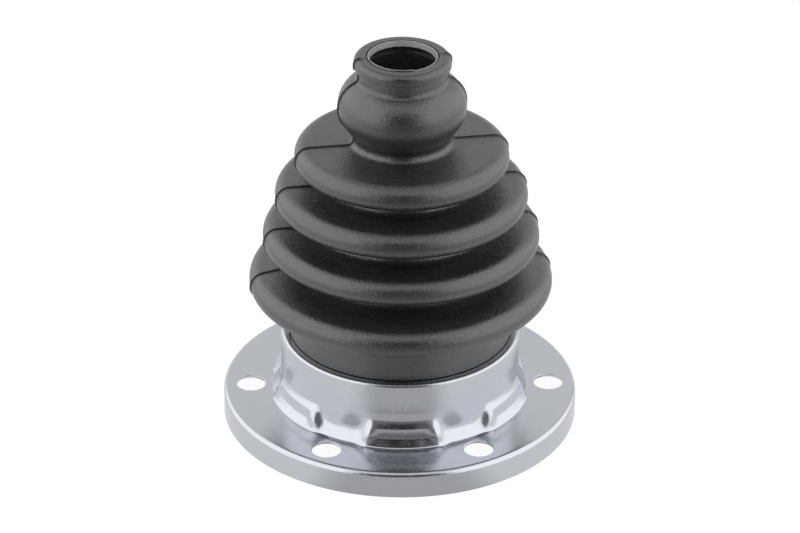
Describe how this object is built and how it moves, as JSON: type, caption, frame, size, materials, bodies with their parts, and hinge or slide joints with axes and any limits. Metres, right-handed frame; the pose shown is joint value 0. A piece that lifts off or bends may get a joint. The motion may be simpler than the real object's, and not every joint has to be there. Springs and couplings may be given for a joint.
{
  "type": "rubber bellows boot",
  "caption": "Moulded rubber bellows boot that tapers from a pressed steel bolting flange to a clamped small end, for sealing a drive shaft joint.",
  "frame": {"origin": "on the axis, at the lower edge of the flange's skirt, which the boot stands on", "axes": "+Z along the axis to the small end; +X and -X each pass through a bolt hole"},
  "size_m": [0.1017, 0.1016, 0.113],
  "materials": {
    "zinc_steel": "zinc plated, bright and slightly bluish",
    "black_rubber": "moulded black rubber, satin"
  },
  "bodies": {
    "root": {"steel_flange": "zinc_steel", "rubber_bellows": "black_rubber"}
  },
  "joints": []
}
